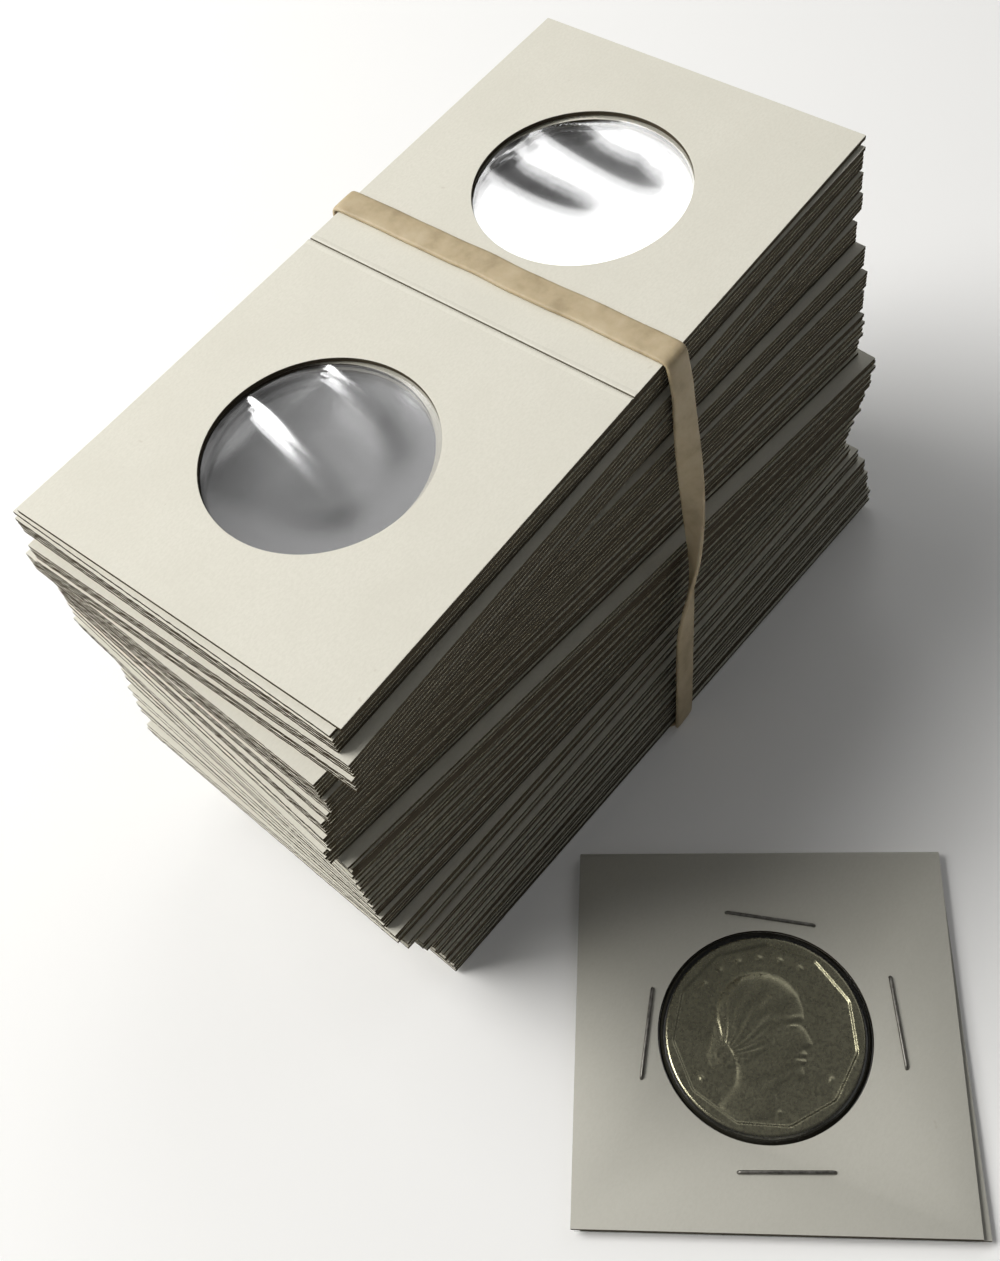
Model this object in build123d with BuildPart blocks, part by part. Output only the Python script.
# A bundle of unfolded cardboard coin flips held by a rubber band, and one flip folded and stapled round a coin.
# Millimetres. +Z is up, +X runs along the top flip to its far end, and -Y is the long side with the ledges.
# The origin lies on the table under the crease of the top flip.
import math
import os

from build123d import *

os.makedirs("parts", exist_ok=True)

# One flip: a strip of board, two panels long, with a round window in each panel and film on its inner face
panel_length = 50.8
panel_width = 50.8
board_t = 0.67
film_t = 0.05
film_inset = 0.4
window_clear = 1.0
window_across = 0.7
crease_depth = 0.15
fold_gap = 0.04

# The bundle: how far single flips slip and turn inside their clump, and the flat sides of the hidden windows.
# Single flips sway in a sine from the top down: its step from flip to flip, in radians, the lag of the slip
# across behind the slip along, and the beat of the turn.
flip_slip = 0.12
flip_turn = 0.12
sway_step_rad = 2.4
sway_lag_rad = 2.0
sway_turn_beat = 1.7
hidden_window_sides = 8
second_window_sides = 40

# Clumps from the top down, the top flip and the second flip by themselves: flips in the clump, turn about Z
# in degrees, and slip along X and Y
clump_counts = [1, 1, 4, 4, 4, 5, 5, 4, 5, 6, 5, 4, 5, 5, 4, 5, 5, 4, 3, 4, 5, 6, 6]
clump_turns = [
    0, -0.9, -0.7, 0.1, -0.2, -3.2, -3.8, -4.6, -5.4, -6.0, -6.4, -6.6,
    -6.6, -6.2, -5.8, -5.2, -4.6, -3.4, -3.2, -3.2, -3.4, -3.5, -3.6,
]
clump_slips = [
    (0, 0),
    (-0.6, 0.2),
    (-0.8, 0.1),
    (-1.6, -0.9),
    (-1.9, -1.2),
    (-2.7, 0.8),
    (-2.4, -0.2),
    (-2.6, -0.4),
    (-2.8, 0.1),
    (-3.1, 0.0),
    (-3.5, 0.5),
    (-2.4, -1.8),
    (-2.4, -1.4),
    (-2.6, -1.0),
    (-2.7, -0.8),
    (-2.9, -0.4),
    (-3.1, -0.3),
    (-3.6, -0.8),
    (-3.1, -1.5),
    (-1.7, -2.3),
    (-0.4, -2.9),
    (0.2, -3.3),
    (0.7, -3.6),
]

# The rubber band crosses the top beyond the crease, slants back on its way down and bends round the corners in
# a few flat steps
band_width = 3.9
band_t = 0.7
band_top_x = 7.4
band_bottom_x = -0.8
band_bend_sides = 8

# The coin and the film that hugs it
coin_d = 26.5
coin_t = 2.0
coin_edge = 0.2
coin_field_depth = 0.12
coin_field_sides = 11
coin_rim = 0.9
coin_clear = 0.05
coin_side_clear = 0.2
film_clear = 0.1
film_brim = 0.6

# The folded flip lies on the table beside the bundle, turned, with its fold at the far edge: how far its middle
# lies beyond the middle of the near panel, and the gap from the long side of the bundle to its nearest corner
loaded_beyond = 8.4
loaded_gap = 4.6
loaded_turn = -55
fold_take_up = 0.6
fold_skew = 1.1

# Staples of flattened wire, clinched under the folded flip
staple_crown = 12.7
staple_wire_w = 0.6
staple_wire_t = 0.45
staple_bend = 0.35
staple_clinch = 4.2
leg_clear = 0.05

# Staples round the window: name, bearing in degrees, place aside of that bearing, distance from the window's
# rim, and tilt in degrees
staples = [
    ("staple_top", 90, -1.4, 1.65, -9),
    ("staple_bottom", 270, 2.0, 3.25, 1),
    ("staple_left", 180, 0.0, 1.45, -7),
    ("staple_right", 0, 1.7, 3.35, 5),
]

pitch = board_t + film_t
flip_count = sum(clump_counts)
stack_top = band_t + flip_count * pitch
window_d = coin_d + 2 * window_clear


def flip_places():
    """Slip along X, slip along Y and turn of every flip, from the top down."""
    places = []
    for count, turn, (along, across) in zip(clump_counts, clump_turns, clump_slips):
        slip = flip_slip if count > 1 else 0
        spread = flip_turn if count > 1 else 0
        for index in range(len(places), len(places) + count):
            step = sway_step_rad * index
            places.append(
                (
                    along + slip * math.sin(step),
                    across + slip * math.sin(step + sway_lag_rad),
                    turn + spread * math.sin(sway_turn_beat * step),
                )
            )
    return places


places = flip_places()


def flip_plane(index, lift):
    """Plane of one flip, a height above the flip's underside."""
    along, across, turn = places[index]
    level = stack_top - (index + 1) * pitch + lift
    flat = Plane((along, across, level))
    return flat.rotated((0, 0, turn))


def cut_windows(sides):
    """Both windows of a flip, round or with a few flat sides round the same circle."""
    half = panel_length / 2
    with Locations((-half, window_across), (half, window_across)):
        if sides:
            RegularPolygon(window_d / 2, sides, major_radius=False, mode=Mode.SUBTRACT)
        else:
            Circle(window_d / 2, mode=Mode.SUBTRACT)


def write_part(part, name):
    part.label = name
    export_step(part, f"parts/{name}.step")


# Top flip: its two panels meet at the crease, whose upper edges are scored to a V
for name, side in (("near", -1), ("far", 1)):
    length = panel_length - fold_gap / 2
    middle = side * (panel_length + fold_gap / 2) / 2
    with BuildPart() as panel_board:
        with BuildSketch(flip_plane(0, film_t)):
            with Locations((middle, 0)):
                Rectangle(length, panel_width)
            cut_windows(0)
        extrude(amount=board_t)
        crease_edges = panel_board.edges().filter_by(Axis.Y).sort_by(Axis.X)
        crease_side = crease_edges[-2:] if side < 0 else crease_edges[:2]
        chamfer(crease_side.sort_by(Axis.Z)[-1], length=crease_depth)
    write_part(panel_board.part, f"top_flip_{name}_board")

    with BuildPart() as panel_film:
        with BuildSketch(flip_plane(0, 0)):
            with Locations((middle - side * film_inset / 2, 0)):
                Rectangle(length - film_inset, panel_width - 2 * film_inset)
        extrude(amount=film_t)
    write_part(panel_film.part, f"top_flip_{name}_film")

# Second flip: it shows through the windows of the top one, so its own are nearly round
with BuildPart() as second_board:
    with BuildSketch(flip_plane(1, film_t)):
        Rectangle(2 * panel_length, panel_width)
        cut_windows(second_window_sides)
    extrude(amount=board_t)
write_part(second_board.part, "second_flip_board")

with BuildPart() as second_film:
    with BuildSketch(flip_plane(1, 0)):
        Rectangle(2 * (panel_length - film_inset), panel_width - 2 * film_inset)
    extrude(amount=film_t)
write_part(second_film.part, "second_flip_film")

# The other flips, a clump at a time
first = 2
for count in clump_counts[first:]:
    members = range(first, first + count)
    span = f"{first + 1:03d}_to_{first + count:03d}"
    with BuildPart() as clump_boards:
        for index in members:
            with BuildSketch(flip_plane(index, film_t)):
                Rectangle(2 * panel_length, panel_width)
                cut_windows(hidden_window_sides)
            extrude(amount=board_t)
    write_part(clump_boards.part, f"flip_boards_{span}")

    with BuildPart() as clump_films:
        for index in members:
            with BuildSketch(flip_plane(index, 0)):
                Rectangle(2 * (panel_length - film_inset), panel_width - 2 * film_inset)
            extrude(amount=film_t)
    write_part(clump_films.part, f"flip_films_{span}")
    first += count

# Rubber band: the hull of the flips' edges where it passes, drawn in the slanted plane of its middle line
band_slant = math.atan2(band_top_x - band_bottom_x, stack_top)
band_plane = Plane(
    origin=(band_bottom_x, 0, 0),
    x_dir=(0, 1, 0),
    z_dir=(math.cos(band_slant), 0, -math.sin(band_slant)),
)


def edge_points():
    """Where the band's plane meets both long edges of every flip, as points of that plane."""
    points = []
    for index, (along, across, turn) in enumerate(places):
        level = stack_top - (index + 0.5) * pitch
        reach = band_bottom_x + level * math.tan(band_slant) - along
        lean = math.radians(turn)
        for side in (-1, 1):
            edge = across + side * panel_width / 2 / math.cos(lean) + reach * math.tan(lean)
            points.append((edge, level / math.cos(band_slant)))
    return points


def outer_points(points):
    """The corners of the hull round some points, found by walking along its lower and upper chains."""
    ordered = sorted(points)
    corners = []
    for chain in (ordered, ordered[::-1]):
        walk = []
        for point in chain:
            while len(walk) > 1 and cross_turn(walk[-2], walk[-1], point) <= 0:
                walk.pop()
            walk.append(point)
        corners += walk[:-1]
    return corners


def cross_turn(a, b, c):
    """Positive where the path from a over b to c turns left."""
    return (b[0] - a[0]) * (c[1] - a[1]) - (b[1] - a[1]) * (c[0] - a[0])


band_corners = outer_points(edge_points())
with BuildPart() as rubber_band:
    with BuildSketch(band_plane):
        for radius, mode in ((pitch / 2 + band_t, Mode.ADD), (pitch / 2, Mode.SUBTRACT)):
            with BuildSketch(mode=Mode.PRIVATE) as loop:
                with Locations(*band_corners):
                    RegularPolygon(
                        radius / math.cos(band_slant),
                        band_bend_sides,
                        major_radius=False,
                        rotation=180 / band_bend_sides,
                    )
                make_hull()
            add(loop.sketch_local, mode=mode)
    extrude(amount=band_width / 2, dir=(1, 0, 0), both=True)
write_part(rubber_band.part, "rubber_band")

# Folded flip: its middle plane runs between the two films
panel_outer = film_t + board_t
hat_inner = coin_t / 2 + coin_clear
loaded_z = max(panel_outer + staple_wire_t, hat_inner + film_t)
lean = math.radians(loaded_turn)
loaded_reach = (panel_width * abs(math.cos(lean)) + panel_length * abs(math.sin(lean))) / 2
loaded_x = -(panel_length / 2 + loaded_beyond)
loaded_y = -(panel_width / 2 + loaded_gap + loaded_reach)
loaded_plane = Plane((loaded_x, loaded_y, loaded_z)).rotated((0, 0, loaded_turn))
window_plane = loaded_plane.shift_origin((loaded_plane * Pos(0, -fold_take_up, 0)).position)
spine_y = panel_length / 2 - panel_outer
low_y = -panel_length / 2
half_w = panel_width / 2
leg_offset = (staple_crown - staple_wire_t) / 2


def staple_place(bearing, aside, off_rim, tilt):
    """Where a staple's crown lies, from the middle of the window."""
    spot = Vector(window_d / 2 + off_rim, aside).rotate(Axis.Z, bearing)
    return Location((spot.X, spot.Y, 0), (0, 0, bearing + 90 + tilt))


def cut_leg_slots():
    """Slots for the legs of all staples, in a sketch centred on the window."""
    for _, bearing, aside, off_rim, tilt in staples:
        with Locations(staple_place(bearing, aside, off_rim, tilt)):
            with Locations((-leg_offset, 0), (leg_offset, 0)):
                Rectangle(staple_wire_t + 2 * leg_clear, staple_wire_w + 2 * leg_clear, mode=Mode.SUBTRACT)


def loaded_outline(skew, inset):
    """One panel of the folded flip, in a sketch centred on its window; skew moves the open edge sideways."""
    top = spine_y + fold_take_up
    bottom = low_y + fold_take_up + inset
    side = half_w - inset
    Polygon((-side, top), (-side + skew, bottom), (side + skew, bottom), (side, top), align=None)


with BuildPart() as loaded_board:
    for level, skew in ((film_t, 0), (-panel_outer, fold_skew)):
        with BuildSketch(window_plane.offset(level)):
            loaded_outline(skew, 0)
            Circle(window_d / 2, mode=Mode.SUBTRACT)
            cut_leg_slots()
        extrude(amount=board_t)
    spine_plane = Plane(
        origin=(loaded_plane * Pos(-half_w, spine_y, 0)).position,
        x_dir=loaded_plane.y_dir,
        z_dir=loaded_plane.x_dir,
    )
    with BuildSketch(spine_plane):
        Circle(panel_outer)
        Circle(film_t, mode=Mode.SUBTRACT)
        with Locations((-panel_outer, 0)):
            Rectangle(2 * panel_outer, 2 * panel_outer, mode=Mode.SUBTRACT)
    extrude(amount=panel_width)
write_part(loaded_board.part, "folded_flip_board")

# Film of the folded flip: a sheet on each panel, raised over the coin like a shallow hat
base_r = window_d / 2 - film_clear
crown_r = coin_d / 2 + coin_side_clear
flank_slope = (base_r - crown_r) / hat_inner
flank_shift = film_t * (math.hypot(1, flank_slope) - flank_slope)
section_plane = Plane(window_plane.origin, x_dir=window_plane.x_dir, z_dir=-window_plane.y_dir)
for name, side, skew in (("front", 1, 0), ("back", -1, fold_skew)):
    with BuildPart() as loaded_film:
        with BuildSketch(window_plane):
            loaded_outline(skew, film_inset)
            Circle(base_r + film_brim / 2, mode=Mode.SUBTRACT)
            cut_leg_slots()
        extrude(amount=side * film_t)
        with BuildSketch(section_plane):
            with BuildLine():
                Polyline(
                    (base_r + film_brim, 0),
                    (base_r, 0),
                    (crown_r, side * hat_inner),
                    (0, side * hat_inner),
                    (0, side * (hat_inner + film_t)),
                    (crown_r + flank_shift, side * (hat_inner + film_t)),
                    (base_r + flank_shift, side * film_t),
                    (base_r + film_brim, side * film_t),
                    close=True,
                )
            make_face()
        revolve(axis=Axis(window_plane.origin, window_plane.z_dir))
    write_part(loaded_film.part, f"folded_flip_{name}_film")

# Coin: a round disc with a raised rim round a many-sided field on both faces
field_r = coin_d / 2 - coin_rim
with BuildPart() as coin:
    with BuildSketch(window_plane.offset(-coin_t / 2)):
        Circle(coin_d / 2)
    extrude(amount=coin_t)
    chamfer(coin.edges().filter_by(GeomType.CIRCLE), length=coin_edge)
    for level in (-coin_t / 2, coin_t / 2 - coin_field_depth):
        with BuildSketch(window_plane.offset(level)):
            RegularPolygon(field_r, coin_field_sides)
        extrude(amount=coin_field_depth, mode=Mode.SUBTRACT)
write_part(coin.part, "coin")

# Staples: crown on the front, legs through both panels, tips bent inwards under the back
staple_height = 2 * (panel_outer + staple_wire_t)
for name, bearing, aside, off_rim, tilt in staples:
    staple_plane = Plane(window_plane * staple_place(bearing, aside, off_rim, tilt))
    side_plane = Plane(staple_plane.origin, x_dir=staple_plane.x_dir, z_dir=-staple_plane.y_dir)
    with BuildPart() as staple:
        with BuildSketch(side_plane) as outline:
            Rectangle(staple_crown, staple_height)
            chamfer(outline.vertices(), length=staple_bend)
            Rectangle(staple_crown - 2 * staple_wire_t, staple_height - 2 * staple_wire_t, mode=Mode.SUBTRACT)
            with Locations((0, -staple_height / 2)):
                Rectangle(staple_crown - 2 * staple_clinch, staple_height, mode=Mode.SUBTRACT)
        extrude(amount=staple_wire_w / 2, both=True)
    write_part(staple.part, name)

print("flips", flip_count, "stack top", round(stack_top, 3), "folded flip middle", round(loaded_z, 3))
print("window middle", tuple(round(v, 4) for v in window_plane.origin), "band corners", len(band_corners))
